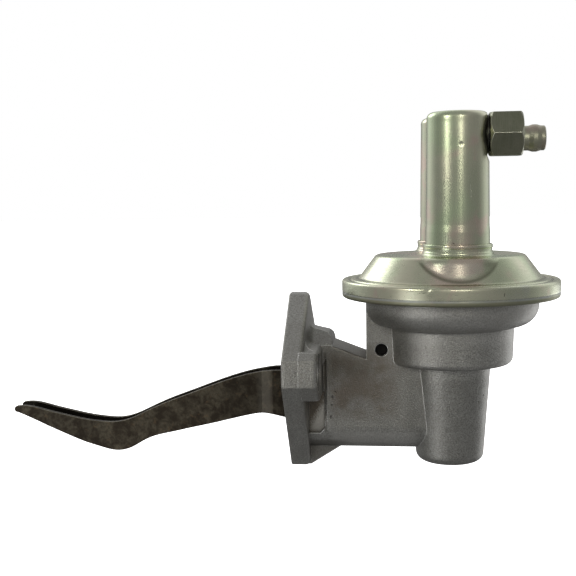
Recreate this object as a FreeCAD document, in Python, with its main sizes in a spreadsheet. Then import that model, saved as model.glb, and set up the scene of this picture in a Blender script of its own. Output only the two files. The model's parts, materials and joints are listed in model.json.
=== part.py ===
import FreeCAD, Part
import Sketcher
import math
import os

# Mechanical fuel pump of the rocker-arm kind, millimetres.
# Frame: origin midway between the two bolt holes on the gasket face of the
# mounting flange, +X from the gasket face towards the pump body, +Z up along
# the diaphragm axis, so the arm reaches away along -X.

doc = FreeCAD.newDocument("fuel_pump")
sheet = doc.addObject("Spreadsheet::Sheet", "dims")

CELLS = [
    # overall placing
    ("axis_x", 82.0), ("rim_z", 38.8),
    # flange
    ("plate_thick", 10.2), ("ear_y", 44.5), ("ear_top", 7.2), ("ear_bot", -5.8),
    ("apex_top", 36.4), ("apex_bot", -54.4), ("apex_half", 4.6), ("ear_thick", 17.6),
    ("bolt_y", 35.0), ("bolt_z", 0.0), ("bolt_hole", 5.15),
    # lever box and column
    ("box_half", 14.0), ("box_left", 19.5), ("box_low", -30.8), ("neck_half", 12.3),
    ("col_left", 39.8), ("cav_half", 9.2),
    # bowl, step and boss, radii about the diaphragm axis
    ("bowl_rad", 44.5), ("bowl_low", 19.0), ("bowl_edge", 22.0), ("step_rad", 32.4), ("step_low", 0.1),
    ("boss_rad_top", 20.8), ("boss_rad_bot", 17.0), ("boss_low", -51.0),
    ("seat_rad", 53.3), ("seat_top", 40.8), ("seat_low", 35.2),
    # pivot
    ("pin_x", 47.4), ("pin_z", 7.9), ("pin_rad", 3.2), ("pin_half", 11.0), ("run_gap", 0.05),
    # cover
    ("rim_rad", 54.8), ("sheet_thick", 1.25), ("rim_top", 43.05), ("rim_low", 34.0),
    ("top_z", 55.3), ("top_rad", 37.4), ("collar_rad", 16.9), ("collar_top", 61.4), ("lobe_shift", 1.6),
    ("can_out_x", 84.9), ("can_in_x", 83.0), ("can_y", 18.2),
    # canisters
    ("can_foot", 15.7), ("can_neck_z", 68.9), ("can_rad_low", 15.35), ("can_rad_top", 14.95),
    ("can_top", 124.9), ("can_wall", 0.9), ("flat_x", 98.5), ("port_z", 113.9),
    # fitting and nipple
    ("hex_flats", 20.7), ("hex_x", 99.7), ("hex_len", 15.7), ("neck_rad", 6.9), ("port_rad", 7.1),
    ("port_deep", 8.9), ("seat_deep", 2.6), ("ring_rad", 9.4), ("nip_rad", 6.35), ("nip_end", 131.4), ("nip_bore", 4.6),
    ("nip_z", 113.6), ("bead_rad", 7.0),
    # rocker arm
    ("arm_half", 6.8), ("arm_half_in", 8.0), ("arm_wall", 2.3), ("ear_rad", 4.9),
    # link
    ("link_half", 5.0), ("link_wall", 1.6),
    # rod and diaphragm
    ("rod_rad", 3.0), ("rod_head_z", -12.0), ("dia_thick", 1.0), ("dia_z", 45.3),
    # springs
    ("ret_rad", 9.0), ("ret_wire", 1.1), ("ret_low", -47.4), ("ret_high", -19.1),
    ("spr_rad", 14.0), ("spr_wire", 1.2),
    # valves
    ("cage_rad", 9.6), ("disc_rad", 6.6), ("disc_thick", 0.9),
]
# stations of the arm's side outline: X, upper edge, lower edge
ARM = [
    (-147.5, -24.3, -27.7), (-141.0, -24.3, -30.3), (-131.1, -26.6, -34.8), (-120.6, -29.0, -39.3),
    (-110.3, -31.1, -43.4), (-101.9, -32.1, -45.9), (-96.6, -32.4, -47.3), (-90.4, -31.8, -47.5),
    (-85.1, -30.2, -45.9), (-78.7, -27.3, -42.3), (-73.5, -24.8, -39.9), (-63.1, -20.4, -37.3),
    (-52.8, -16.6, -34.9), (-42.3, -12.6, -32.6), (-32.1, -9.0, -30.1), (-21.9, -6.1, -27.7),
    (-14.9, -4.7, -26.6), (-8.8, -4.0, -27.1), (-3.1, -3.9, -28.4), (6.0, -3.9, -29.0),
    (16.0, -3.9, -26.6), (28.0, -3.9, -21.9),
]
ROW = 1
for name, value in CELLS:
    sheet.set("A%d" % ROW, name)
    sheet.set("B%d" % ROW, str(value))
    sheet.setAlias("B%d" % ROW, name)
    ROW += 1
for i, (sx, st, sb) in enumerate(ARM):
    for col, key, value in (("B", "x", sx), ("C", "top", st), ("D", "low", sb)):
        sheet.set("A%d" % ROW, "station_%02d" % i)
        sheet.set("%s%d" % (col, ROW), str(value))
        sheet.setAlias("%s%d" % (col, ROW), "station_%s_%02d" % (key, i))
    ROW += 1
doc.recompute()


class Dim:
    """A number that also knows the sheet expression it comes from."""

    def __init__(self, v, e):
        self.v = float(v)
        self.e = e

    @staticmethod
    def wrap(o):
        return o if isinstance(o, Dim) else Dim(o, "%.6g" % o if o >= 0 else "(%.6g)" % o)

    def __add__(self, o):
        o = Dim.wrap(o)
        return Dim(self.v + o.v, "(%s + %s)" % (self.e, o.e))

    def __radd__(self, o):
        return Dim.wrap(o) + self

    def __sub__(self, o):
        o = Dim.wrap(o)
        return Dim(self.v - o.v, "(%s - %s)" % (self.e, o.e))

    def __rsub__(self, o):
        return Dim.wrap(o) - self

    def __mul__(self, o):
        o = Dim.wrap(o)
        return Dim(self.v * o.v, "(%s * %s)" % (self.e, o.e))

    def __rmul__(self, o):
        return Dim.wrap(o) * self

    def __neg__(self):
        return Dim(-self.v, "(0 - %s)" % self.e)


def d(alias):
    return Dim(sheet.get(alias), "dims." + alias)


V = FreeCAD.Vector
COUNT = [0]


def uid(name):
    COUNT[0] += 1
    return "%s_%d" % (name, COUNT[0])


def bind(obj, prop, q):
    q = Dim.wrap(q)
    obj.setExpression(prop, q.e)


def sketch(body, plane, pts, offset=None):
    sk = body.newObject("Sketcher::SketchObject", uid("profile"))
    pl = [f for f in body.Origin.OriginFeatures if f.Role == plane][0]
    sk.AttachmentSupport = [(pl, "")]
    sk.MapMode = "FlatFace"
    if offset is not None:
        bind(sk, "AttachmentOffset.Base.z", offset)
    pts = [(Dim.wrap(a), Dim.wrap(b)) for a, b in pts]
    n = len(pts)
    for i in range(n):
        a, b = pts[i], pts[(i + 1) % n]
        sk.addGeometry(Part.LineSegment(V(a[0].v, a[1].v, 0), V(b[0].v, b[1].v, 0)), False)
    for i in range(n):
        sk.addConstraint(Sketcher.Constraint("Coincident", i, 2, (i + 1) % n, 1))
    for i in range(n):
        for kind, q in (("DistanceX", pts[i][0]), ("DistanceY", pts[i][1])):
            k = sk.addConstraint(Sketcher.Constraint(kind, -1, 1, i, 1, q.v))
            if q.e.startswith("dims.") or "dims." in q.e:
                sk.setExpression("Constraints[%d]" % k, q.e)
    return sk


def place(obj, x=0, y=0, z=0):
    for ax, q in (("x", x), ("y", y), ("z", z)):
        q = Dim.wrap(q)
        if "dims." in q.e:
            obj.setExpression("Placement.Base." + ax, q.e)
        elif q.v:
            setattr(obj.Placement.Base, ax, q.v)
            p = obj.Placement
            b = V(p.Base)
            setattr(b, ax, q.v)
            obj.Placement = FreeCAD.Placement(b, p.Rotation)


def turned(name, pts, x=0, y=0, z=0):
    """Solid of revolution about Z from a radius/height profile."""
    b = doc.addObject("PartDesign::Body", uid(name))
    sk = sketch(b, "XZ_Plane", pts)
    r = b.newObject("PartDesign::Revolution", uid("turn"))
    r.Profile = sk
    r.ReferenceAxis = (sk, ["V_Axis"])
    r.Angle = 360
    place(b, x, y, z)
    doc.recompute()
    return b


def prism(name, plane, pts, length, offset=None, both=False, reverse=False):
    """Pad of a closed outline; both=True grows it to each side."""
    b = doc.addObject("PartDesign::Body", uid(name))
    sk = sketch(b, plane, pts, offset)
    p = b.newObject("PartDesign::Pad", uid("pad"))
    p.Profile = sk
    if both:
        p.SideType = "Symmetric"
    if reverse:
        p.Reversed = True
    bind(p, "Length", length)
    doc.recompute()
    return b


def round_body(b, test, radius):
    """Fillet the edges of a body's tip that pass the test."""
    tip = b.Tip
    names = ["Edge%d" % (i + 1) for i, e in enumerate(tip.Shape.Edges) if test(e)]
    if not names:
        raise RuntimeError("no edge to round on " + b.Name)
    f = b.newObject("PartDesign::Fillet", uid("round"))
    f.Base = (tip, names)
    bind(f, "Radius", radius)
    doc.recompute()
    if "Invalid" in f.State or f.Shape.isNull() or not f.Shape.isValid():
        raise RuntimeError("rounding failed on " + b.Name)
    return b


def circle_at(r, z, tol=0.02):
    def test(e):
        c = e.Curve
        return (isinstance(c, Part.Circle) and abs(c.Radius - r) < tol
                and abs(c.Center.z - z) < tol and abs(c.Axis.z) > 0.99)
    return test


def near(x=None, y=None, z=None, tol=0.05):
    """Edges whose whole length lies at the given coordinates."""
    def test(e):
        bb = e.BoundBox
        ok = True
        for want, lo, hi in ((x, bb.XMin, bb.XMax), (y, bb.YMin, bb.YMax), (z, bb.ZMin, bb.ZMax)):
            if want is not None:
                ok = ok and abs(lo - want) < tol and abs(hi - want) < tol
        return ok
    return test


def cyl(name, rad, height, x=0, y=0, z=0, axis="Z"):
    c = doc.addObject("Part::Cylinder", uid(name))
    bind(c, "Radius", rad)
    bind(c, "Height", height)
    if axis == "X":
        c.Placement = FreeCAD.Placement(V(0, 0, 0), FreeCAD.Rotation(V(0, 1, 0), 90))
    elif axis == "Y":
        c.Placement = FreeCAD.Placement(V(0, 0, 0), FreeCAD.Rotation(V(1, 0, 0), -90))
    place(c, x, y, z)
    return c


def box(name, x0, x1, y0, y1, z0, z1):
    c = doc.addObject("Part::Box", uid(name))
    bind(c, "Length", Dim.wrap(x1) - x0)
    bind(c, "Width", Dim.wrap(y1) - y0)
    bind(c, "Height", Dim.wrap(z1) - z0)
    place(c, x0, y0, z0)
    return c


def cone(name, r1, r2, height, x=0, y=0, z=0, axis="Z"):
    c = doc.addObject("Part::Cone", uid(name))
    bind(c, "Radius1", r1)
    bind(c, "Radius2", r2)
    bind(c, "Height", height)
    if axis == "X":
        c.Placement = FreeCAD.Placement(V(0, 0, 0), FreeCAD.Rotation(V(0, 1, 0), 90))
    place(c, x, y, z)
    return c


def fuse(name, *objs, refine=True):
    f = doc.addObject("Part::MultiFuse", uid(name))
    f.Shapes = list(objs)
    f.Refine = refine
    doc.recompute()
    return f


def cut(name, base, tool, refine=True):
    f = doc.addObject("Part::Cut", uid(name))
    f.Base = base
    f.Tool = tool
    f.Refine = refine
    doc.recompute()
    return f


def common(name, a, b):
    f = doc.addObject("Part::Common", uid(name))
    f.Base = a
    f.Tool = b
    doc.recompute()
    return f


def rounded(name, base, test, radius):
    """Round edges of a boolean result."""
    f = doc.addObject("Part::Fillet", uid(name))
    f.Base = base
    r = Dim.wrap(radius).v
    edges = [(i + 1, r, r) for i, e in enumerate(base.Shape.Edges) if test(e)]
    f.Edges = edges
    doc.recompute()
    if not edges or f.Shape.isNull() or not f.Shape.isValid() or "Invalid" in f.State:
        print("rounding skipped:", name, len(edges))
        doc.removeObject(f.Name)
        doc.recompute()
        return base
    return f


def coil(name, rad, wire, low, high, turns, x=0, y=0):
    """Helical spring standing on Z=low and ending at Z=high."""
    b = doc.addObject("PartDesign::Body", uid(name))
    sk = b.newObject("Sketcher::SketchObject", uid("wire"))
    pl = [f for f in b.Origin.OriginFeatures if f.Role == "XZ_Plane"][0]
    sk.AttachmentSupport = [(pl, "")]
    sk.MapMode = "FlatFace"
    rad, wire, low, high = [Dim.wrap(q) for q in (rad, wire, low, high)]
    sk.addGeometry(Part.Circle(V(rad.v, wire.v, 0), V(0, 0, 1), wire.v), False)
    k = sk.addConstraint(Sketcher.Constraint("DistanceX", -1, 1, 0, 3, rad.v))
    sk.setExpression("Constraints[%d]" % k, rad.e)
    k = sk.addConstraint(Sketcher.Constraint("DistanceY", -1, 1, 0, 3, wire.v))
    sk.setExpression("Constraints[%d]" % k, wire.e)
    k = sk.addConstraint(Sketcher.Constraint("Radius", 0, wire.v))
    sk.setExpression("Constraints[%d]" % k, wire.e)
    h = b.newObject("PartDesign::AdditiveHelix", uid("helix"))
    h.Profile = sk
    h.ReferenceAxis = (sk, ["V_Axis"])
    h.Mode = "height-turns-angle"
    bind(h, "Height", high - low - wire * 2)
    h.Turns = turns
    h.Angle = 0
    place(b, x, y, low)
    doc.recompute()
    return b


NODES = {}


def node(name, obj):
    obj.Label = name
    NODES[name] = obj
    return obj


ax, rz = d("axis_x"), d("rim_z")
px, pz = d("pin_x"), d("pin_z")

# ---------------------------------------------------------------- casting
# bowl, step and boss are turned about the diaphragm axis
core = turned("bowl", [
    (0, d("boss_low")), (d("boss_rad_bot"), d("boss_low")), (d("boss_rad_top"), d("step_low")),
    (d("step_rad") - 0.8, d("step_low")), (d("step_rad"), d("bowl_low")),
    (d("bowl_rad"), d("bowl_edge")), (d("bowl_rad"), d("seat_low")),
    (d("seat_rad"), d("seat_low")), (d("seat_rad"), d("seat_top")), (0, d("seat_top"))], x=ax)
round_body(core, circle_at(d("bowl_rad").v, d("bowl_edge").v), 10.5)
round_body(core, circle_at(d("step_rad").v, d("bowl_low").v), 1.2)
round_body(core, circle_at(d("step_rad").v - 0.8, d("step_low").v), 3.0)
round_body(core, circle_at(d("boss_rad_bot").v, d("boss_low").v), 4.5)
round_body(core, circle_at(d("boss_rad_top").v, d("step_low").v), 1.2)

# lever box: straight sides, sloping top, column up to the bowl, round bottom
slab = prism("slab", "XZ_Plane", [
    (d("box_left"), d("box_low")), (ax, d("box_low")), (ax, 33), (d("col_left"), 33),
    (d("col_left"), 3.5), (22.5, 10.0), (d("box_left"), 11.1)], d("box_half") * 2, both=True)


def slab_top(e):
    bb = e.BoundBox
    return (abs(abs(bb.YMin) - 14.0) < 0.05 and abs(bb.YMax - bb.YMin) < 0.05
            and bb.ZMin > 3.4 and bb.XMax < 39.85 and bb.XMax - bb.XMin > 1.0)


round_body(slab, slab_top, 0.9)
keel = cyl("keel", d("box_half"), ax - 6.0, x=6.0, z=d("box_low"), axis="X")
neck = prism("neck", "XZ_Plane", [
    (6, d("box_low")), (21, d("box_low")), (21, 11.0), (6, 11.0)], d("neck_half") * 2, both=True)

# flange plate, six-sided with a narrow top and bottom
ey, et, eb = d("ear_y"), d("ear_top"), d("ear_bot")
ah, at_, ab = d("apex_half"), d("apex_top"), d("apex_bot")
plate = prism("plate", "YZ_Plane", [
    (ey, et), (ah, at_ - 0.6), (-ah, at_ - 0.6), (-ey, et), (-ey, eb),
    (-(ah + 8.6), ab + 9.4), (-(ah + 1.2), ab), (ah + 1.2, ab), (ah + 8.6, ab + 9.4), (ey, eb)],
    d("plate_thick"))


def along_x(e):
    bb = e.BoundBox
    return bb.YMax - bb.YMin < 0.01 and bb.ZMax - bb.ZMin < 0.01


def along_x_at(zlo, zhi):
    def test(e):
        return along_x(e) and zlo < e.BoundBox.ZMin < zhi
    return test


round_body(plate, along_x_at(30, 40), 3.5)
round_body(plate, along_x_at(-60, -50), 3.0)
round_body(plate, along_x_at(-6.5, 8), 0.8)

# thick band across both ears, behind the plate
band = prism("band", "YZ_Plane", [
    (ey, et), (ey - 4.4, et + 3.3), (-(ey - 4.4), et + 3.3),
    (-ey, et), (-ey, eb), (-(ey - 7.4), eb - 7.8), (ey - 7.4, eb - 7.8), (ey, eb)],
    d("ear_thick") - d("plate_thick") + 2.0, offset=d("plate_thick") - 2.0)
round_body(band, along_x_at(-6.5, 8), 0.8)
round_body(band, lambda e: near(x=d("ear_thick").v)(e) and e.BoundBox.ZMin > -6.5 and e.Length > 2.0, 2.4)
# roof shaped block that carries the band over onto the lever box
block = prism("block", "YZ_Plane", [
    (2.65, 20.0), (d("box_half"), 10.2), (d("box_half"), -13),
    (-d("box_half"), -13), (-d("box_half"), 10.2), (-2.65, 20.0)], 15, offset=8)
block_side = prism("block_side", "XZ_Plane", [
    (8, -13), (8, 19.4), (20.3, 16.0), (22.0, 14.2), (22.6, 11.5), (22.6, 5.0), (19.6, 4.0),
    (17.6, 0.0), (17.6, -13)], 60, both=True)
block = common("collar", block, block_side)
rib = prism("rib", "XZ_Plane", [
    (5, -44), (5, d("apex_bot") + 0.3), (10.4, d("apex_bot") + 0.3), (25.6, -44.4), (28, -42)], 8.0, both=True)

def roof_foot(e):
    bb = e.BoundBox
    return (abs(bb.XMin - d("plate_thick").v) < 0.02 and abs(bb.XMax - d("plate_thick").v) < 0.02
            and bb.ZMin > 8.0 and bb.ZMax < 20.0 and e.Length > 5.0)


def back_rim(e):
    bb = e.BoundBox
    return (abs(bb.XMin - d("plate_thick").v) < 0.02 and abs(bb.XMax - d("plate_thick").v) < 0.02
            and bb.ZMax > 30.0)


def gasket_rim(e):
    bb = e.BoundBox
    return abs(bb.XMin) < 0.02 and abs(bb.XMax) < 0.02 and bb.ZMax - bb.ZMin + bb.YMax - bb.YMin > 1.0


plate_soft = rounded("plate_back", plate, back_rim, 2.8)
flange = rounded("flange_soft", fuse("flange_core", plate_soft, block), roof_foot, 4.5)
# hollow round-off between the plate and the top of the band
soft_r = 5.0
soft_z = et + 3.3
soft = prism("soft", "XZ_Plane", [
    (8, soft_z - 2.0), (8, soft_z + soft_r), (d("plate_thick"), soft_z + soft_r)] + [
    (d("plate_thick") + soft_r * (1 - math.sin(math.radians(a_))), soft_z + soft_r * (1 - math.cos(math.radians(a_))))
    for a_ in (75, 60, 45, 30, 15)] + [(d("plate_thick") + soft_r, soft_z), (d("plate_thick") + soft_r, soft_z - 2.0)],
    80, both=True)
lean = prism("soft_side", "YZ_Plane", [
    (ey - 7.0, et), (2, at_ - 4.0), (-2, at_ - 4.0), (-(ey - 7.0), et)], 20)
flange = fuse("flange", flange, band, common("soft_wedge", soft, lean))
flange = rounded("flange_lip", flange, gasket_rim, 0.9)
outer = fuse("casting_outer", core, slab, keel, neck, flange, rib, refine=False)

# recesses beside the neck, under each ear
pocket_tools = []
for s in (1, -1):
    y0, y1 = (10.9, 20.0) if s > 0 else (-20.0, -10.9)
    p = prism("pocket", "XZ_Plane", [
        (d("plate_thick"), -13.6), (18.4, -13.6), (18.4, -32.6), (16.0, -35.2), (d("plate_thick"), -35.2)], 8.0,
        offset=(-18.9 if s > 0 else 10.9))
    pocket_tools.append(p)

# cavities
# diaphragm chamber, kept clear of the lever cavity by a wall
chamber = turned("chamber", [
    (0, 3.5), (28.6, 3.5), (28.6, 22.4), (39.4, 22.4), (39.4, 42.0), (0, 42.0)], x=ax)
round_body(chamber, circle_at(39.4, 22.4), 8.0)
guard = box("guard", 40.0, px + 10.0, -12.4, 12.4, 0, 20.5)
chamber = cut("chamber_cut", chamber, guard)
# lever cavity from the flange opening to the boss
tunnel = prism("tunnel", "XZ_Plane", [
    (-1, -33.0), (-1, 4.0), (9, 5.6), (20, 7.6), (22.5, 8.2), (40.2, 1.4), (42.2, 1.4), (42.2, 14.3),
    (54.2, 14.3), (54.2, -2.4), (ax, -2.4), (ax, d("box_low")), (12, d("box_low"))], d("cav_half") * 2, both=True)
tunnel_low = cyl("tunnel_low", 10.8, ax - 20.4, x=20.4, z=d("box_low"), axis="X")
mouth = box("mouth", -1.0, 8.6, -10.4, 10.4, -34.5, 4.0)
bore = turned("boss_bore", [
    (0, d("ret_low")), (13.6, d("ret_low")), (17.0, -2.4), (0, -2.4)], x=ax)
rod_hole = cyl("rod_hole", d("rod_rad") + 0.9, 10, x=ax, z=-4.0)
seal_seat = cyl("seal_seat", 8.0, 4.0, x=ax, z=0.8)
pivot = cyl("pivot_hole", d("pin_rad"), 40, x=px, y=-20.0, z=pz, axis="Y")
bolts = []
for s in (1, -1):
    yb = d("bolt_y") * s
    bolts.append(cyl("bolt_hole", d("bolt_hole"), 30, x=-5.0, y=yb, z=d("bolt_z"), axis="X"))
    bolts.append(cyl("spot_face", 9.3, 12, x=d("ear_thick") - 0.9, y=yb, z=d("bolt_z"), axis="X"))
# the column's left side runs straight up to the seat
bolts.append(box("column_trim", 30.0, d("col_left"), -24.0, 24.0, 12.0, d("seat_low")))
hollow = fuse("casting_hollow", chamber, tunnel, tunnel_low, mouth, bore, rod_hole, seal_seat, pivot, *bolts)
tools = fuse("casting_tools", hollow, *pocket_tools)
node("lower_housing", cut("housing", outer, tools, refine=False))

# ---------------------------------------------------------------- cover
st = d("sheet_thick")
tr = d("top_rad")
# outside profile, radius and height, from the centre of the flat top to the crimp
skin_out = [
    (0, d("top_z")), (tr, d("top_z")), (45.2, 44.9), (46.6, 43.6), (48.4, 43.35), (49.8, 43.35), (50.5, 42.75),
    (51.5, 42.75), (52.1, d("rim_top")), (d("rim_rad") - 0.4, d("rim_top")),
    (d("rim_rad"), d("rim_top") - 0.9), (d("rim_rad"), d("rim_low") + 1.2), (d("rim_rad") - 1.2, d("rim_low"))]
solid_top = turned("cover_skin", skin_out + [(0, d("rim_low"))], x=ax)
round_body(solid_top, circle_at(tr.v, d("top_z").v), 2.6)
round_body(solid_top, circle_at(45.2, 44.9), 2.2)


def can_spot(which):
    if which == "out":
        return d("can_out_x"), -d("can_y")
    return d("can_in_x"), d("can_y")


# lobes that spread each collar over the cone
lobe_objs, hollow_objs, bores = [], [], []
for which in ("out", "in"):
    cx, cy = can_spot(which)
    lx = cx - d("lobe_shift") if which == "out" else cx
    lobe_objs.append(turned("lobe", [
        (0, 43.6), (26.9, 43.6), (23.7, 53.2), (22.8, 54.6), (21.3, 55.42), (0, 55.42)], x=lx, y=cy))
    lobe_objs.append(turned("collar_ring", [
        (0, 54.0), (20.4, 54.0), (20.4, 55.52), (18.7, 55.9), (17.4, 56.9), (d("collar_rad"), 58.1),
        (d("collar_rad"), d("collar_top") - 0.5), (d("collar_rad") - 0.5, d("collar_top")), (0, d("collar_top"))],
        x=cx, y=cy))
    hollow_objs.append(turned("lobe_in", [
        (0, 42.5), (25.6, 42.5), (22.3, 52.6), (20.9, d("top_z") - st - 0.35), (0, d("top_z") - st - 0.35)],
        x=lx, y=cy))
    bores.append(cyl("collar_bore", d("can_foot"), 20, x=cx, y=cy, z=d("top_z")))
    bores.append(cyl("valve_hole", d("cage_rad"), 20, x=cx, y=cy, z=d("top_z") - 10.0))
inner_room = turned("cover_room", [
    (0, d("top_z") - st), (tr - 0.9, d("top_z") - st), (44.5, 43.4), (46.2, 41.8), (53.6, 41.8),
    (53.6, 35.2), (50.4, 35.2), (50.4, 33.0), (0, 33.0)], x=ax)
round_body(inner_room, circle_at(tr.v - 0.9, d("top_z").v - st.v), 1.6)
cover_outer = fuse("cover_outer", solid_top, *lobe_objs)
low_trim = turned("low_trim", [(0, 43.3), (47.2, 43.3), (47.2, 60), (60, 60), (60, 30), (0, 30)], x=ax)
lobe_room = fuse("lobe_room", *hollow_objs)
lobe_room = cut("lobe_room_cut", lobe_room, low_trim)
cover_tools = fuse("cover_tools", inner_room, lobe_room, *bores)
cover = cut("cover", cover_outer, cover_tools)
node("top_cover", cover)

# ---------------------------------------------------------------- canisters
w = d("can_wall")


def can_profile(grow, top):
    foot = d("can_foot") - grow
    z0 = d("top_z")
    return [
        (0, z0), (foot, z0), (foot, d("can_neck_z") - 1.2), (d("can_rad_low") - grow, d("can_neck_z") + 0.6),
        (d("can_rad_top") - grow, top), (0, top)]


def canister(which):
    cx, cy = can_spot(which)
    shell = turned("can_" + which, can_profile(0, d("can_top")), x=cx, y=cy)
    round_body(shell, circle_at(d("can_rad_top").v, d("can_top").v), 3.2)
    core_ = turned("can_room_" + which, can_profile(w, d("can_top") - w), x=cx, y=cy)
    round_body(core_, circle_at(d("can_rad_top").v - w.v, d("can_top").v - w.v), 2.3)
    drop = cyl("can_mouth", d("can_foot") - w, 4.0, x=cx, y=cy, z=d("top_z") - 2.0)
    core_ = fuse("can_core_" + which, core_, drop)
    return shell, core_, cx, cy


shell, room, cx, cy = canister("out")
# pressed flat under the fitting
fx, fz = d("flat_x"), d("port_z")
flat_out = box("flat_out", fx, fx + 10, cy - 14, cy + 14, fz - 11.2, fz + 20)
flat_in = box("flat_in", fx - w, fx + 10, cy - 14, cy + 14, fz - 11.2 - w, fz + 20)
shell = cut("can_flat", shell, flat_out)
room = cut("can_flat_room", room, flat_in)
can = cut("can_out_hollow", shell, room)
hole = cyl("can_port", d("neck_rad"), 12, x=fx - 6, y=cy, z=fz, axis="X")
node("outlet_canister", cut("can_out", can, hole))

shell, room, ix, iy = canister("in")
can = cut("can_in_hollow", shell, room)
hole = cyl("can_port", d("nip_rad"), 20, x=ix + 8, y=iy, z=d("nip_z"), axis="X")
node("inlet_canister", cut("can_in", can, hole))

# ---------------------------------------------------------------- outlet fitting
hx, hl = d("hex_x"), d("hex_len")
hexagon = doc.addObject("Part::Prism", uid("hex"))
hexagon.Polygon = 6
bind(hexagon, "Circumradius", d("hex_flats") * 0.57735027)
bind(hexagon, "Height", hl)
# flats lie top and bottom
hexagon.Placement = FreeCAD.Placement(V(0, 0, 0), FreeCAD.Rotation(V(0, 1, 0), 90)) * \
    FreeCAD.Placement(V(0, 0, 0), FreeCAD.Rotation(V(0, 0, 1), 90))
place(hexagon, hx, cy, fz)
# chamfer of both hex ends by a turned envelope
env = doc.addObject("PartDesign::Body", uid("hex_env"))
half = d("hex_flats") * 0.5
sk = sketch(env, "XZ_Plane", [
    (0, 0), (0, half - 0.4), (2.0, half + 2.0), (hl - 1.6, half + 2.0), (hl, half - 0.2), (hl, 0)])
r = env.newObject("PartDesign::Revolution", uid("turn"))
r.Profile = sk
r.ReferenceAxis = (sk, ["H_Axis"])
r.Angle = 360
place(env, hx, cy, fz)
doc.recompute()
hexa = common("hex_head", hexagon, env)
# neck through the canister wall, flared inside
neck_ = cyl("fit_neck", d("neck_rad"), hx - fx + w + 2.4, x=fx - w - 2.4, y=cy, z=fz, axis="X")
flare = cyl("fit_flare", 7.4, 1.4, x=fx - w - 2.4, y=cy, z=fz, axis="X")
fit = fuse("fit_solid", hexa, neck_, flare)
port = cyl("port", d("port_rad"), d("port_deep") + 1, x=hx + hl - d("port_deep"), y=cy, z=fz, axis="X")
under = cyl("port_under", 6.6, d("seat_deep") + 0.5, x=hx + hl - d("port_deep") - d("seat_deep"), y=cy, z=fz, axis="X")
lead = cone("port_lead", d("port_rad"), d("port_rad") + 1.2, 1.2, x=hx + hl - 1.2, y=cy, z=fz, axis="X")
way = cyl("port_way", 3.6, 40, x=fx - 10, y=cy, z=fz, axis="X")
fit = cut("fit_cut", fit, fuse("fit_tools", port, under, lead, way))
# seat cone for the flared tube, standing in its own recess under the thread
seat = cone("seat", 6.0, 4.2, d("seat_deep"), x=hx + hl - d("port_deep") - d("seat_deep") - 0.01, y=cy, z=fz, axis="X")
seat = cut("seat_cut", seat, cyl("seat_way", 3.6, 40, x=fx - 10, y=cy, z=fz, axis="X"))
node("outlet_fitting", fuse("fit", fit, seat))

ring = doc.addObject("PartDesign::Body", uid("ring"))
sk = sketch(ring, "XZ_Plane", [
    (0, d("neck_rad") + 0.02), (hx - fx, d("neck_rad") + 0.02), (hx - fx, d("ring_rad") - 0.6),
    (hx - fx - 0.6, d("ring_rad")), (0.6, d("ring_rad")), (0, d("ring_rad") - 0.6)])
r = ring.newObject("PartDesign::Revolution", uid("turn"))
r.Profile = sk
r.ReferenceAxis = (sk, ["H_Axis"])
r.Angle = 360
place(ring, fx, cy, fz)
doc.recompute()
node("outlet_seal_ring", ring)

# ---------------------------------------------------------------- inlet nipple
nr, ne = d("nip_rad"), d("nip_end")
nx = ix + 11.0
nip = doc.addObject("PartDesign::Body", uid("nipple"))
sk = sketch(nip, "XZ_Plane", [
    (0, d("nip_bore")), (ne - nx, d("nip_bore")), (ne - nx, nr - 0.5), (ne - nx - 0.5, nr),
    (ne - nx - 2.2, nr), (ne - nx - 4.3, d("bead_rad")), (ne - nx - 6.3, d("bead_rad")),
    (ne - nx - 8.6, nr), (7.6, nr), (7.2, 8.3), (0, 8.3)])
r = nip.newObject("PartDesign::Revolution", uid("turn"))
r.Profile = sk
r.ReferenceAxis = (sk, ["H_Axis"])
r.Angle = 360
place(nip, nx, iy, d("nip_z"))
doc.recompute()
# foot saddled to the canister's round wall, with the tube let through it
saddle = cone("saddle", d("can_rad_low") + 0.0, d("can_rad_top") + 0.0, d("can_top") - d("can_neck_z") - 0.6,
              x=ix, y=iy, z=d("can_neck_z") + 0.6)
tube_in = doc.addObject("PartDesign::Body", uid("nip_tube"))
sk = sketch(tube_in, "XZ_Plane", [(0, d("nip_bore")), (8, d("nip_bore")), (8, nr), (0, nr)])
r = tube_in.newObject("PartDesign::Revolution", uid("turn"))
r.Profile = sk
r.ReferenceAxis = (sk, ["H_Axis"])
r.Angle = 360
place(tube_in, nx, iy, d("nip_z"))
doc.recompute()
node("inlet_nipple", fuse("nip", cut("nip_foot", nip, saddle), tube_in))

# ---------------------------------------------------------------- pivot pin
node("pivot_pin", cyl("pin", d("pin_rad"), d("pin_half") * 2, x=px, y=-d("pin_half"), z=pz, axis="Y"))

# ---------------------------------------------------------------- rocker arm
# The side outline is a free curve through the stations of the sheet, so the
# blank and its hollow are made from spline wires.
stations = [(sheet.get("station_x_%02d" % i), sheet.get("station_top_%02d" % i), sheet.get("station_low_%02d" % i))
            for i in range(len(ARM))]


def spline(points):
    c = Part.BSplineCurve()
    c.interpolate([V(x, 0, z) for x, z in points])
    return c.toShape()


def line(a, b):
    return Part.LineSegment(V(a[0], 0, a[1]), V(b[0], 0, b[1])).toShape()


ear = d("ear_rad").v
PX, PZ = px.v, pz.v


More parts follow.
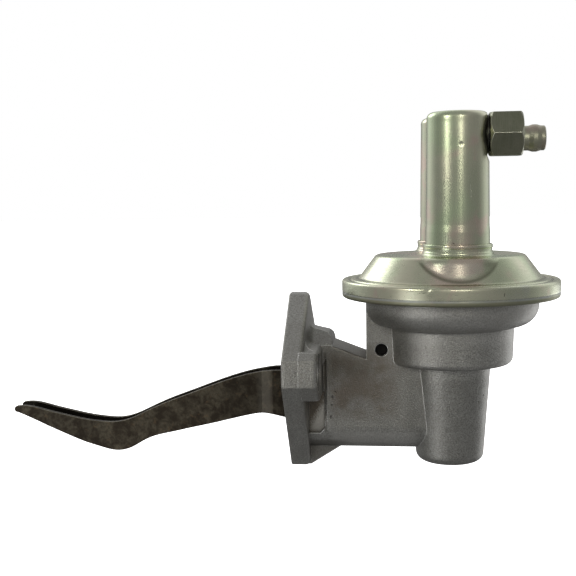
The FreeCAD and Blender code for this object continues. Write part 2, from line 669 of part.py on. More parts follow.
def arm_wire():
    """Side outline of the arm."""
    tops = [(x, z) for x, z, _ in stations]
    lows = [(x, z) for x, _, z in stations]
    pad_top = -6.0
    a = (43.9, tops[-1][1])
    edges = [spline(tops), line(tops[-1], a)]
    left = (PX - 3.4, PZ - math.sqrt(ear ** 2 - 3.4 ** 2))
    right = (PX + 3.9, PZ - math.sqrt(ear ** 2 - 3.9 ** 2))
    edges.append(line(a, left))
    edges.append(Part.Arc(V(left[0], 0, left[1]), V(PX, 0, PZ + ear), V(right[0], 0, right[1])).toShape())
    b = (53.0, pad_top + 4.0)
    c = (56.5, pad_top)
    e = (93.0, pad_top)
    g = (94.6, pad_top - 1.8)
    h = (94.6, -16.8)
    k = (92.4, -19.0)
    low_end = (58.0, -19.0)
    edges += [line(right, b), line(b, c), line(c, e), line(e, g), line(g, h), line(h, k), line(k, low_end)]
    lows = lows + [(40.0, -19.3)]
    edges.append(line(low_end, lows[-1]))
    edges.append(spline(lows[::-1]))
    t0, t1 = lows[0], tops[0]
    nose = (t1[0] - 1.9, t1[1] - 1.5)
    edges.append(Part.Arc(V(t0[0], 0, t0[1]), V(nose[0], 0, nose[1]), V(t1[0], 0, t1[1])).toShape())
    return Part.Wire(Part.__sortEdges__(edges))


def plan(half_tip, half_root):
    pts = [(-160, half_tip - 0.5), (-142, half_tip), (-14.8, half_tip), (-9.0, half_root), (120, half_root)]
    pts = pts + [(x, -y) for x, y in reversed(pts)]
    wire = Part.makePolygon([V(x, y, -80) for x, y in pts + [pts[0]]])
    return Part.Face(wire).extrude(V(0, 0, 140))


hw, hr, wt = d("arm_half").v, d("arm_half_in").v, d("arm_wall").v
blank = Part.Face(arm_wire()).extrude(V(0, 40, 0)).translated(V(0, -20, 0)).common(plan(hw, hr))
# the hollow is open on top
lows_in = [(x, z + wt) for x, _, z in stations if x > -144] + [(40.0, -19.3 + wt)]
sky = 60.0
room_edges = [spline(lows_in), line(lows_in[-1], (58.0, -19.0 + wt)), line((58.0, -19.0 + wt), (110.0, -19.0 + wt)),
              line((110.0, -19.0 + wt), (110.0, sky)), line((110.0, sky), (lows_in[0][0] - 2.0, sky)),
              line((lows_in[0][0] - 2.0, sky), (lows_in[0][0] - 2.0, lows_in[0][1] + 1.5)),
              line((lows_in[0][0] - 2.0, lows_in[0][1] + 1.5), lows_in[0])]
hol = Part.Face(Part.Wire(Part.__sortEdges__(room_edges))).extrude(V(0, 40, 0)).translated(V(0, -20, 0))
hol = hol.common(plan(hw - wt, hr - wt))
slot_tip = Part.makeBox(10, 2 * (hw - wt), 20, V(-153, -(hw - wt), -40))
bore_pin = Part.makeCylinder(d("pin_rad").v + d("run_gap").v, 40, V(PX, -20, PZ), V(0, 1, 0))
arm_shape = blank.cut(hol).cut(slot_tip).cut(bore_pin)
if arm_shape.ShapeType != "Solid" and len(arm_shape.Solids) >= 1:
    arm_shape = max(arm_shape.Solids, key=lambda s_: s_.Volume)
arm = doc.addObject("Part::Feature", "rocker_arm_blank")
arm.Shape = arm_shape
node("rocker_arm", arm)

# ---------------------------------------------------------------- link lever
lk, lw = d("link_half"), d("link_wall")
hz = d("rod_head_z")
link_pts = [
    (px - 4.3, pz + 2.4), (px - 2.4, pz + 4.3), (px + 2.4, pz + 4.3), (px + 4.6, pz + 2.0), (px + 4.6, pz - 4.0),
    (54.0, -3.6), (58.0, -6.4), (88.0, -6.6), (88.8, -8.0), (88.8, hz + 0.9), (82.0, hz + 0.06), (66.0, hz + 0.06), (58.0, -13.2),
    (49.0, -16.55), (40.6, -16.55), (39.6, -14.0), (43.6, -4.0), (px - 4.6, pz - 2.0)]
plates = prism("link_plates", "XZ_Plane", link_pts, lk * 2, both=True)
gap = box("link_gap", 30.0, 100.0, -(lk - lw), lk - lw, -40.0, 40.0)
tie = box("link_tie", 56.4, 74.0, -(lk - lw) - 0.4, lk - lw + 0.4, hz + 0.06, hz + 1.8)
link = fuse("link_u", cut("link_pair", plates, gap), tie)
node("link_lever", cut("link", link, cyl("link_bore", d("pin_rad") + d("run_gap"), 40, x=px, y=-20.0, z=pz, axis="Y")))

wash = []
for s in (1, -1):
    y0 = lk + 0.02 if s > 0 else -(lk + 0.02 + 0.64)
    tube = cyl("washer", 4.4, 0.64, x=px, y=y0, z=pz, axis="Y")
    wash.append(cut("spacer", tube, cyl("washer_bore", d("pin_rad") + d("run_gap"), 40, x=px, y=-20.0, z=pz, axis="Y")))
pair = doc.addObject("Part::Compound", uid("spacers"))
pair.Links = wash
doc.recompute()
node("link_spacers", pair)

# ---------------------------------------------------------------- rod and diaphragm
rr = d("rod_rad")
dz, dt = d("dia_z"), d("dia_thick")
node("pull_rod", turned("rod", [
    (0, hz - 2.6), (4.6, hz - 2.6), (5.2, hz - 2.0), (5.2, hz), (rr, hz), (rr, dz - 1.3), (2.4, dz - 1.3),
    (2.4, dz + 4.4), (0, dz + 4.4)], x=ax))
node("lower_diaphragm_plate", turned("low_plate", [
    (2.4, dz - 1.3), (21.8, dz - 1.3), (24.4, dz - 3.3), (25.2, dz - 2.4), (22.4, dz), (2.4, dz)], x=ax))
node("diaphragm", turned("diaphragm", [
    (2.4, dz), (25.4, dz), (29.0, dz - 1.2), (38.2, d("seat_top") + 0.0), (d("seat_rad") - 0.2, d("seat_top")),
    (d("seat_rad") - 0.2, d("seat_top") + dt), (38.8, d("seat_top") + dt), (29.4, dz - 0.2), (25.6, dz + dt),
    (2.4, dz + dt)], x=ax))
node("upper_diaphragm_plate", turned("up_plate", [
    (2.4, dz + dt), (23.0, dz + dt), (24.6, dz + dt + 1.6), (23.8, dz + dt + 2.2), (22.2, dz + dt + 1.1),
    (2.4, dz + dt + 1.1)], x=ax))
nut = doc.addObject("Part::Prism", uid("nut"))
nut.Polygon = 6
bind(nut, "Circumradius", 4.6)
bind(nut, "Height", 2.2)
place(nut, ax, 0, dz + dt + 1.1)
node("rod_nut", cut("nut_cut", nut, cyl("nut_bore", 2.4, 10, x=ax, z=dz)))

node("rod_seal", turned("seal", [
    (rr + 0.05, 0.8), (8.0, 0.8), (8.0, 3.5), (5.4, 3.5), (5.0, 1.9), (rr + 0.05, 2.6)], x=ax))
node("seal_retainer", turned("retainer", [
    (rr + 0.6, 3.5), (18.4, 3.5), (18.4, 5.6), (17.4, 5.6), (17.4, 4.6), (rr + 0.6, 4.6)], x=ax))
node("diaphragm_spring", coil("dspring", d("spr_rad"), d("spr_wire"), 4.62, dz - 1.32, 7, x=ax))
node("arm_return_spring", coil("rspring", d("ret_rad"), d("ret_wire"), d("ret_low") + 0.02, d("ret_high") - 0.02, 6.5, x=ax))

# ---------------------------------------------------------------- valves
cr = d("cage_rad")
dr, dk = d("disc_rad"), d("disc_thick")


def valve(which, sign):
    """sign -1 opens downwards into the pumping chamber, +1 opens upwards."""
    cx_, cy_ = can_spot(which)
    tz = d("top_z")
    name = "inlet" if which == "in" else "outlet"
    if sign < 0:
        body = turned("cage_" + which, [
            (0, tz - 5.0), (3.0, tz - 5.0), (3.0, tz - 4.3), (1.2, tz - 4.3), (1.2, tz - 0.4), (7.9, tz - 0.4),
            (7.9, tz - 4.4), (cr, tz - 4.4), (cr, tz + 0.8), (11.6, tz + 0.8), (11.6, tz + 1.6), (0, tz + 1.6)],
            x=cx_, y=cy_)
    else:
        body = turned("cage_" + which, [
            (0, tz + 7.0), (3.0, tz + 7.0), (3.0, tz + 6.3), (1.2, tz + 6.3), (1.2, tz - 0.8), (7.9, tz - 0.8),
            (7.9, tz + 1.8), (11.6, tz + 1.8), (11.6, tz + 0.8), (cr, tz + 0.8), (cr, tz - 2.4), (0, tz - 2.4)],
            x=cx_, y=cy_)
    ports = []
    for k in range(6):
        a = math.radians(60 * k)
        ports.append(cyl("port", 1.35, 12, x=cx_ + 4.4 * math.cos(a), y=cy_ + 4.4 * math.sin(a), z=tz - 6.0))
    body = cut("caged_" + which, body, fuse("ports_" + which, *ports))
    node(name + "_valve_cage", body)
    if sign < 0:
        z0, z1 = tz - 0.42 - dk, tz - 0.42
        s0, s1 = tz - 4.28, tz - 0.44 - dk
    else:
        z0, z1 = tz - 0.78, tz - 0.78 + dk
        s0, s1 = tz - 0.76 + dk, tz + 6.28
    node(name + "_valve_disc", turned("disc_" + which, [(1.26, z0), (dr, z0), (dr, z1), (1.26, z1)], x=cx_, y=cy_))
    node(name + "_valve_spring", coil("vspring_" + which, 2.3, 0.22, s0, s1, 4 if sign < 0 else 6, x=cx_, y=cy_))
    node(name + "_valve_gasket", turned("gasket_" + which, [
        (cr, tz), (11.6, tz), (11.6, tz + 0.8), (cr, tz + 0.8)], x=cx_, y=cy_))


valve("in", -1)
valve("out", 1)

# ---------------------------------------------------------------- checks and output
doc.recompute()
bad = []
for o in doc.Objects:
    if any(word in ("Invalid", "Error") for word in o.State):
        bad.append("%s (%s): %s" % (o.Name, o.Label, o.State))
for name, o in NODES.items():
    s = o.Shape
    if s.isNull() or not s.isValid() or s.Volume <= 0:
        bad.append("%s: shape" % name)
if bad:
    raise RuntimeError("; ".join(bad))
os.makedirs("parts", exist_ok=True)
for name, o in NODES.items():
    s = o.Shape
    print("%-24s solids %d volume %.1f box %s" % (name, len(s.Solids), s.Volume,
          [round(v, 2) for v in (s.BoundBox.XMin, s.BoundBox.XMax, s.BoundBox.YMin, s.BoundBox.YMax, s.BoundBox.ZMin, s.BoundBox.ZMax)]))
    s.exportStep("parts/%s.step" % name)
print("nodes", len(NODES))
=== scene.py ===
import bpy, bmesh, json, math
from mathutils import Vector, Matrix, noise


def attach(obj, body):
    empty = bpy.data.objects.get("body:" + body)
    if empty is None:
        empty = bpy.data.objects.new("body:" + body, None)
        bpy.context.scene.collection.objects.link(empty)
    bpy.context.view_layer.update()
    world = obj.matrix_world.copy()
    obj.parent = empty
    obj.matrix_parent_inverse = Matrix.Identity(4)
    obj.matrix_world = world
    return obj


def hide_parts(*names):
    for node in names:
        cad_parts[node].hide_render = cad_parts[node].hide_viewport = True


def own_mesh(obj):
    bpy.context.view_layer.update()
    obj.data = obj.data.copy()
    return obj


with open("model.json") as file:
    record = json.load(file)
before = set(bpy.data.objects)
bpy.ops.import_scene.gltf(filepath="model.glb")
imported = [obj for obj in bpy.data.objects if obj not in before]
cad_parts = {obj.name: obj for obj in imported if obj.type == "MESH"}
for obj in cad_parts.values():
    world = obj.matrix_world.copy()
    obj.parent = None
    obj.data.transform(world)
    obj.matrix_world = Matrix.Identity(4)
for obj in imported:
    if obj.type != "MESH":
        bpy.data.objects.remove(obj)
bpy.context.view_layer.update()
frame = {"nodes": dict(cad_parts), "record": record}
nodes = frame["nodes"]
scene = bpy.context.scene
MM = 0.001


# ------------------------------------------------------------------ camera
CAM = Vector((0.05697, -0.49399, 0.08628))
FWD = Vector((-0.1161, 0.9885, -0.0964)).normalized()
RIGHT = Vector((0.9932, 0.1152, -0.0155))
RIGHT = (RIGHT - FWD * RIGHT.dot(FWD)).normalized()
UP = RIGHT.cross(FWD)
cam_data = bpy.data.cameras.new("camera")
cam = bpy.data.objects.new("camera", cam_data)
scene.collection.objects.link(cam)
rot = Matrix((RIGHT, UP, -FWD)).transposed()
cam.matrix_world = Matrix.Translation(CAM) @ rot.to_4x4()
cam_data.sensor_fit = "HORIZONTAL"
cam_data.sensor_width = 36.0
cam_data.lens = 60.0
cam_data.clip_start = 0.01
cam_data.clip_end = 50
scene.camera = cam
scene.view_settings.view_transform = "Standard"


# ------------------------------------------------------------------ node helpers
class Tree:
    """Short names for the shader nodes used here."""

    def __init__(self, tree):
        self.t = tree
        self.xyz = None

    def n(self, kind, **props):
        node = self.t.nodes.new(kind)
        for k, v in props.items():
            setattr(node, k, v)
        return node

    def plug(self, socket, value):
        if isinstance(value, bpy.types.NodeSocket):
            self.t.links.new(value, socket)
        elif value is not None:
            if socket.type == "RGBA":
                value = (*value[:3], 1.0) if not isinstance(value, (int, float)) else (value, value, value, 1.0)
            socket.default_value = value

    def coord(self, kind="Object"):
        if self.xyz is None:
            self.xyz = self.n("ShaderNodeTexCoord")
        return self.xyz.outputs[kind]

    def math(self, op, a, b=None, c=None, clamp=False):
        m = self.n("ShaderNodeMath", operation=op, use_clamp=clamp)
        for i, v in enumerate((a, b, c)):
            if v is not None:
                self.plug(m.inputs[i], v)
        return m.outputs[0]

    def vmath(self, op, a, b=None, scale=None):
        m = self.n("ShaderNodeVectorMath", operation=op)
        self.plug(m.inputs[0], a)
        if b is not None:
            self.plug(m.inputs[1], b)
        if scale is not None:
            self.plug(m.inputs["Scale"], scale)
        return m.outputs["Value"] if op in ("DOT_PRODUCT", "LENGTH", "DISTANCE") else m.outputs[0]

    def split(self, v):
        s = self.n("ShaderNodeSeparateXYZ")
        self.plug(s.inputs[0], v)
        return s.outputs

    def join(self, x, y, z):
        s = self.n("ShaderNodeCombineXYZ")
        for i, v in enumerate((x, y, z)):
            self.plug(s.inputs[i], v)
        return s.outputs[0]

    def noise(self, scale, detail=2.0, rough=0.5, at=None, dist=0.0):
        x = self.n("ShaderNodeTexNoise")
        self.plug(x.inputs["Vector"], at if at is not None else self.coord())
        x.inputs["Scale"].default_value = scale
        x.inputs["Detail"].default_value = detail
        x.inputs["Roughness"].default_value = rough
        x.inputs["Distortion"].default_value = dist
        return x.outputs["Fac"]

    def voronoi(self, scale, at=None, feature="F1", out="Distance"):
        x = self.n("ShaderNodeTexVoronoi", feature=feature)
        self.plug(x.inputs["Vector"], at if at is not None else self.coord())
        x.inputs["Scale"].default_value = scale
        return x.outputs[out]

    def stretch(self, v, sx, sy, sz):
        return self.vmath("MULTIPLY", v, (sx, sy, sz))

    def step(self, v, a, b, lo=0.0, hi=1.0, smooth=True):
        m = self.n("ShaderNodeMapRange", interpolation_type="SMOOTHSTEP" if smooth else "LINEAR")
        m.clamp = True
        self.plug(m.inputs["Value"], v)
        m.inputs["From Min"].default_value = a
        m.inputs["From Max"].default_value = b
        m.inputs["To Min"].default_value = lo
        m.inputs["To Max"].default_value = hi
        return m.outputs["Result"]

    def mix(self, fac, a, b, kind="MIX"):
        m = self.n("ShaderNodeMix", data_type="RGBA", blend_type=kind)
        self.plug(m.inputs[0], fac)
        self.plug(m.inputs[6], a)
        self.plug(m.inputs[7], b)
        return m.outputs[2]

    def ramp(self, v, stops):
        r = self.n("ShaderNodeValToRGB")
        self.plug(r.inputs[0], v)
        e = r.color_ramp.elements
        while len(e) < len(stops):
            e.new(0.5)
        for i, (p, c) in enumerate(stops):
            e[i].position = p
            e[i].color = (c, c, c, 1) if isinstance(c, (int, float)) else (*c, 1)
        return r.outputs[0]

    def spot(self, centre, radius, soft=0.4):
        """1 inside a ball about a point in millimetres, 0 outside."""
        dist = self.vmath("DISTANCE", self.coord(), tuple(c * MM for c in centre))
        return self.step(dist, radius * MM, radius * (1 - soft) * MM)

    def gauss(self, v, centre, width):
        """1 on a plane v = centre, falling to 0 at width to each side, in millimetres."""
        a = self.math("ABSOLUTE", self.math("SUBTRACT", v, centre * MM))
        return self.step(a, width * MM, 0.0)

    def stroke(self, a, b, width):
        """1 along the line a-b on the surface, in millimetres."""
        a, b = Vector(a) * MM, Vector(b) * MM
        d = b - a
        rel = self.vmath("SUBTRACT", self.coord(), tuple(a))
        t = self.math("DIVIDE", self.vmath("DOT_PRODUCT", rel, tuple(d)), d.length_squared, clamp=True)
        back = self.vmath("SCALE", tuple(d), scale=t)
        off = self.vmath("DISTANCE", rel, back)
        return self.step(off, width * MM, width * 0.3 * MM)


class Mat(Tree):
    def __init__(self, name):
        self.m = bpy.data.materials.new(name)
        self.m.use_nodes = True
        super().__init__(self.m.node_tree)
        self.t.nodes.clear()
        self.out = self.n("ShaderNodeOutputMaterial")
        self.b = self.n("ShaderNodeBsdfPrincipled")
        self.t.links.new(self.b.outputs[0], self.out.inputs[0])

    def set(self, **vals):
        for k, v in vals.items():
            self.plug(self.b.inputs[k.replace("_", " ")], v)

    def bump(self, height, dist, strength=1.0, normal=None):
        """dist in millimetres"""
        b = self.n("ShaderNodeBump")
        b.inputs["Strength"].default_value = strength
        b.inputs["Distance"].default_value = dist * MM
        self.plug(b.inputs["Height"], height)
        if normal is not None:
            self.plug(b.inputs["Normal"], normal)
        return b.outputs[0]

    def bevel(self, radius, samples=6):
        b = self.n("ShaderNodeBevel", samples=samples)
        b.inputs["Radius"].default_value = radius * MM
        return b.outputs[0]

    def edge(self, rounded):
        """0 on open surface, towards 1 where the rounded normal leaves the true one."""
        g = self.n("ShaderNodeNewGeometry")
        return self.math("SUBTRACT", 1.0, self.vmath("DOT_PRODUCT", rounded, g.outputs["Normal"]))

    def cavity(self, dist, samples=6):
        a = self.n("ShaderNodeAmbientOcclusion", samples=samples)
        a.inputs["Distance"].default_value = dist * MM
        return a.outputs["AO"]


# ------------------------------------------------------------------ sand-cast aluminium
def make_cast():
    m = Mat("cast_aluminium")
    p = m.coord()
    X, Y, Z = m.split(p)
    grain = m.noise(1500, 2.5, 0.62)
    grit = m.noise(3300, 1.5, 0.6)
    blotch = m.noise(95, 3, 0.55)
    wide = m.noise(22, 2, 0.5)
    pits = m.voronoi(820, feature="F1")
    # base grey, a little warm, with mottling at three sizes
    tone = m.mix(m.step(grain, 0.32, 0.68), (0.25, 0.248, 0.232), (0.50, 0.497, 0.475))
    tone = m.mix(m.step(blotch, 0.38, 0.68, 0.0, 0.35), tone, (0.24, 0.235, 0.22))
    tone = m.mix(m.step(wide, 0.35, 0.7, 0.0, 0.22), tone, (0.30, 0.285, 0.255))
    # darker towards the flange end
    tone = m.mix(m.step(X, 0.064, 0.040, 0.0, 0.26), tone, (0.20, 0.195, 0.178))
    # painted light on the upper bowl and painted shade on the boss below it, by height
    far = m.step(X, 0.056, 0.064)
    tone = m.mix(m.math("MULTIPLY", far, m.step(Z, 0.010, 0.016, 0.0, 0.21)), tone, (0.66, 0.655, 0.63))
    tone = m.mix(m.math("MULTIPLY", far, m.step(Z, -0.003, -0.009, 0.0, 0.36)), tone, (0.13, 0.129, 0.118))
    wall = m.math("MULTIPLY", m.step(X, 0.020, 0.024), m.step(X, 0.068, 0.060))
    wall = m.math("MULTIPLY", wall, m.math("MULTIPLY", m.step(Z, -0.034, -0.030), m.step(Z, 0.004, -0.002)))
    tone = m.mix(m.math("MULTIPLY", wall, 0.20), tone, (0.13, 0.125, 0.11))
    # painted highlight along the rounded keel under the lever box
    keel = m.math("MULTIPLY", m.step(X, 0.020, 0.024), m.step(X, 0.068, 0.062))
    keel = m.math("MULTIPLY", keel, m.math("MULTIPLY", m.step(Z, -0.042, -0.040), m.step(Z, -0.033, -0.036)))
    tone = m.mix(m.math("MULTIPLY", keel, 0.30), tone, (0.66, 0.65, 0.62))
    # bright sparkles of the skin
    spark = m.step(grit, 0.60, 0.74, 0.0, 0.65)
    tone = m.mix(spark, tone, (0.62, 0.62, 0.61))
    # brown film on the lever box sides, behind the flange
    box_x = m.math("MULTIPLY", m.step(X, 0.018, 0.024), m.step(X, 0.060, 0.046))
    box_z = m.math("MULTIPLY", m.step(Z, -0.030, -0.022), m.step(Z, 0.010, 0.002))
    stain_and_shade = m.math("MULTIPLY", m.math("MULTIPLY", box_x, box_z), m.step(m.noise(120, 3, 0.6), 0.30, 0.66, 0.12, 0.75))
    tone = m.mix(stain_and_shade, tone, (0.165, 0.135, 0.105))
    # a darker band high on the lever box behind the flange: partly brown stain, partly painted shade
    stain_and_shade = m.math("MULTIPLY", m.math("MULTIPLY", m.step(X, 0.017, 0.021), m.step(X, 0.052, 0.038)),
                  m.math("MULTIPLY", m.step(Z, -0.010, -0.001), m.step(Z, 0.013, 0.009)))
    stain_and_shade = m.math("MULTIPLY", stain_and_shade, m.step(m.math("ABSOLUTE", Y), 0.0155, 0.0145))
    tone = m.mix(m.math("MULTIPLY", stain_and_shade, 0.42), tone, (0.12, 0.11, 0.09))
    # pockets under the ears: painted shade in brown high by the plate, painted light on the coarse floor low by the
    # neck
    side = m.math("ABSOLUTE", Y)
    pocket = m.math("MULTIPLY", m.math("MULTIPLY", m.step(side, 0.0122, 0.0113), m.step(side, 0.0092, 0.0104)),
                    m.math("MULTIPLY", m.step(X, 0.0185, 0.0179), m.math("MULTIPLY", m.step(Z, -0.0354, -0.0348), m.step(Z, -0.0130, -0.0138))))
    slope = m.math("ADD", m.math("MULTIPLY", X, 70.0), m.math("MULTIPLY", Z, -40.0))
    light = m.step(m.math("ADD", slope, m.math("MULTIPLY", m.math("SUBTRACT", grain, 0.5), 0.5)), 1.85, 2.2)
    tone = m.mix(m.math("MULTIPLY", pocket, 0.85), tone, m.mix(light, (0.125, 0.10, 0.072), (0.56, 0.545, 0.505)))
    # painted shade on the web under the flange
    web = m.math("MULTIPLY", m.math("MULTIPLY", m.step(X, 0.009, 0.012), m.step(X, 0.034, 0.022)), m.step(Z, -0.0375, -0.0405))
    web = m.math("MULTIPLY", web, m.step(side, 0.0125, 0.0105))
    tone = m.mix(m.math("MULTIPLY", web, 0.62), tone, (0.10, 0.092, 0.078))
    # painted shade in the corner between the flange's neck and the lever box
    corner = m.math("MULTIPLY", m.gauss(X, 18.9, 1.1), m.math("MULTIPLY", m.step(Z, -0.036, -0.033), m.step(Z, 0.008, 0.005)))
    corner = m.math("MULTIPLY", corner, m.math("MULTIPLY", m.step(side, 0.0105, 0.0115), m.step(side, 0.0150, 0.0145)))
    tone = m.mix(m.math("MULTIPLY", corner, 0.70), tone, (0.085, 0.078, 0.066))
    # dirt and painted shade where surfaces meet, from the occlusion; worn bare edges with a painted highlight where
    # they turn away
    rounded = m.bevel(0.9)
    edge = m.edge(rounded)
    ao = m.cavity(7.0)
    grime_and_shade = m.math("MULTIPLY", m.step(ao, 0.78, 0.35), m.step(blotch, 0.25, 0.6, 0.45, 0.9))
    tone = m.mix(grime_and_shade, tone, (0.115, 0.105, 0.09))
    shine = m.math("MULTIPLY", m.step(edge, 0.018, 0.09), m.step(ao, 0.55, 0.80))
    shine = m.math("MULTIPLY", shine, m.step(grain, 0.25, 0.55, 0.45, 0.95))
    tone = m.mix(shine, tone, (0.80, 0.80, 0.78))
    # small dark casting marks
    marks = None
    for c, r in (((22.3, -14.0, -16.3), 1.1), ((21.7, -14.0, -26.8), 1.2), ((23.9, -14.0, -13.8), 0.7),
                 ((22.0, -14.0, -20.5), 0.6), ((26.6, 14.0, -14.0), 0.9), ((98.3, -11.1, -15.3), 1.0),
                 ((95.6, -14.0, -18.2), 0.7), ((57.0, -38.0, 22.0), 0.7), ((112.0, -33.0, 24.0), 0.6)):
        s = m.spot(c, r, 0.6)
        marks = s if marks is None else m.math("MAXIMUM", marks, s)
    marks = m.math("MULTIPLY", marks, m.step(m.noise(900, 2, 0.6), 0.35, 0.55))
    tone = m.mix(m.math("MULTIPLY", marks, 0.75), tone, (0.06, 0.055, 0.05))
    m.set(Base_Color=tone, Metallic=0.92)
    rough = m.math("ADD", m.step(grain, 0.3, 0.7, 0.36, 0.50), m.math("MULTIPLY", shine, -0.14))
    m.set(Roughness=rough)
    # the coarse skin of the rough pads under the bolt ears
    ear = m.math("MULTIPLY", m.step(X, 0.0165, 0.0150), m.step(X, 0.0006, 0.0020))
    coarse = m.math("MULTIPLY", ear, m.math("MULTIPLY", m.step(Z, -0.018, -0.014), m.step(Z, 0.006, 0.003)))
    h = m.math("ADD", m.math("MULTIPLY", grain, 0.75), m.math("MULTIPLY", grit, 0.35))
    h = m.math("ADD", h, m.math("MULTIPLY", m.step(pits, 0.5, 0.1), -0.25))
    h2 = m.math("MULTIPLY", m.noise(900, 2, 0.7), m.math("MULTIPLY", coarse, 1.2))
    h = m.math("ADD", h, h2)
    h = m.math("ADD", h, m.math("MULTIPLY", marks, -0.8))
    m.set(Normal=m.bump(h, 0.22, 0.95, rounded))
    return m.m


# ------------------------------------------------------------------ zinc plated steel with a yellow-green passivation
def plated(name, light=1.0, rough=(0.23, 0.32), about=(82.0, 0.0), turned=True, patches=True, rim=False):
    m = Mat(name)
    p = m.coord()
    rel = m.vmath("SUBTRACT", p, (about[0] * MM, about[1] * MM, 0.0))
    X, Y, Z = m.split(rel)
    r = m.math("SQRT", m.math("ADD", m.math("MULTIPLY", X, X), m.math("MULTIPLY", Y, Y)))
    ang = m.math("ARCTAN2", Y, X)
    # iridescence of the passivation: slow drifts between olive, straw, rose and a little blue
    a = m.noise(30, 3, 0.55, dist=0.6)
    b = m.noise(46, 3, 0.6, at=m.vmath("ADD", p, (3.1, 1.7, 0.4)), dist=0.5)
    base = m.mix(m.step(a, 0.36, 0.66), (0.57 * light, 0.605 * light, 0.445 * light),
                 (0.67 * light, 0.66 * light, 0.51 * light))
    rose = m.step(b, 0.53, 0.66, 0.0, 0.62 if patches else 0.3)
    base = m.mix(rose, base, (0.74 * light, 0.565 * light, 0.50 * light))
    lilac = m.step(b, 0.40, 0.28, 0.0, 0.35 if patches else 0.15)
    base = m.mix(lilac, base, (0.575 * light, 0.59 * light, 0.565 * light))
    mint = m.step(m.noise(24, 2, 0.5, at=m.vmath("ADD", p, (0.7, 5.2, 1.9)), dist=0.8), 0.54, 0.68, 0.0, 0.65)
    base = m.mix(mint, base, (0.53 * light, 0.655 * light, 0.42 * light))
    # drawing streaks: long along the axis on cylinders, round on turned faces
    if turned:
        lines = m.join(m.math("MULTIPLY", ang, 0.012), m.math("MULTIPLY", r, 1.0), m.math("MULTIPLY", Z, 1.0))
        streak = m.noise(1300, 2.5, 0.6, at=lines)
        soft = m.noise(260, 2, 0.5, at=m.join(m.math("MULTIPLY", ang, 0.03), r, Z))
    else:
        lines = m.join(m.math("MULTIPLY", ang, 0.0155), 0.0, m.math("MULTIPLY", Z, 0.03))
        streak = m.noise(1500, 2.5, 0.6, at=lines)
        soft = m.noise(300, 2, 0.5, at=m.join(m.math("MULTIPLY", ang, 0.0155), 0.0, m.math("MULTIPLY", Z, 0.08)))
    specks = m.noise(2100, 2, 0.6)
    base = m.mix(m.step(streak, 0.35, 0.65, 0.0, 0.16), base, (0.44 * light, 0.455 * light, 0.375 * light))
    base = m.mix(m.step(specks, 0.62, 0.75, 0.0, 0.25), base, (0.36 * light, 0.37 * light, 0.30 * light))
    rounded = m.bevel(0.5)
    edge = m.edge(rounded)
    ao = m.cavity(4.0)
    # dirt and painted shade in hollows, from the occlusion
    grime_and_shade = m.step(ao, 0.62, 0.22, 0.0, 0.75)
    base = m.mix(grime_and_shade, base, (0.14, 0.135, 0.09))
    dull = None
    if rim:
        lip = m.math("ADD", m.gauss(r, 50.9, 0.75), m.math("MULTIPLY", m.gauss(r, 47.0, 1.3), 0.75))
        lip = m.math("MULTIPLY", m.math("MULTIPLY", lip, m.step(Z, 0.0445, 0.0436)), m.step(Z, 0.0400, 0.0415))
        base = m.mix(m.math("MULTIPLY", lip, 0.80), base, (0.15, 0.155, 0.10))
        # painted shade in the crease round each lobe's foot and a painted highlight along the crest just above it
        for lx, ly in ((83.3, -18.2), (83.0, 18.2)):
            q = m.vmath("MULTIPLY", m.vmath("SUBTRACT", p, (lx * MM, ly * MM, 0.0)), (1.0, 1.0, 0.0))
            off = m.math("ADD", m.vmath("LENGTH", q), m.math("MULTIPLY", m.math("SUBTRACT", Z, 0.0436), 0.331))
            fade = m.math("MULTIPLY", m.step(Z, 0.0541, 0.0525), m.step(Z, 0.0436, 0.0443))
            low = m.math("MULTIPLY", m.gauss(off, 27.45, 0.62), fade)
            base = m.mix(m.math("MULTIPLY", low, 0.72), base, (0.16, 0.165, 0.11))
            crest = m.math("MULTIPLY", m.gauss(off, 26.55, 0.5), fade)
            base = m.mix(m.math("MULTIPLY", crest, 0.65), base, (0.86, 0.87, 0.78))
        # painted shade: a darker patch of the plating right of the near lobe
        patch = m.spot((106.0, -35.0, 49.0), 15.0, 0.9)
        base = m.mix(m.math("MULTIPLY", patch, 0.34), base, (0.25, 0.27, 0.19))
        face = m.step(r, 0.0536, 0.0543)
        fold = m.math("MULTIPLY", face, m.gauss(Z, 36.9, 0.32))
        band = m.math("MULTIPLY", face, m.math("MULTIPLY", m.step(Z, 0.0371, 0.0368), m.step(Z, 0.0357, 0.0362)))
        # painted shade on the underside of the rim's curl
        under = m.math("MULTIPLY", m.step(r, 0.0500, 0.0515), m.step(Z, 0.0364, 0.0356))
        uneven = m.step(m.noise(60, 2, 0.5), 0.3, 0.65, 0.35, 1.0)
        base = m.mix(m.math("MULTIPLY", band, m.math("MULTIPLY", uneven, 0.8)), base, (0.35, 0.37, 0.38))
        base = m.mix(m.math("MULTIPLY", fold, 0.75), base, (0.20, 0.21, 0.20))
        base = m.mix(m.math("MULTIPLY", under, 0.72), base, (0.19, 0.19, 0.125))
        dull = m.math("MAXIMUM", m.math("MAXIMUM", fold, band), under)
    # painted highlight along the edges where the occlusion is open
    base = m.mix(m.math("MULTIPLY", m.step(edge, 0.01, 0.08), m.step(ao, 0.55, 0.8, 0.0, 0.6)), base,
                 (0.82 * light, 0.83 * light, 0.74 * light))
    rg = m.math("ADD", m.step(streak, 0.3, 0.7, rough[0], rough[1]), m.step(a, 0.3, 0.7, -0.02, 0.05))
    rg = m.math("ADD", rg, m.math("MULTIPLY", grime_and_shade, 0.15))
    if dull is not None:
        rg = m.math("ADD", rg, m.math("MULTIPLY", dull, 0.22))
    h = m.math("ADD", m.math("MULTIPLY", streak, 0.35 if turned else 0.10), m.math("MULTIPLY", soft, 0.9 if turned else 0.4))
    h = m.math("ADD", h, m.math("MULTIPLY", specks, 0.25 if turned else 0.12))
    m.wear = (base, rg, h, rounded, X, Y, Z, r, ang)
    m.set(Metallic=1.0)
    return m


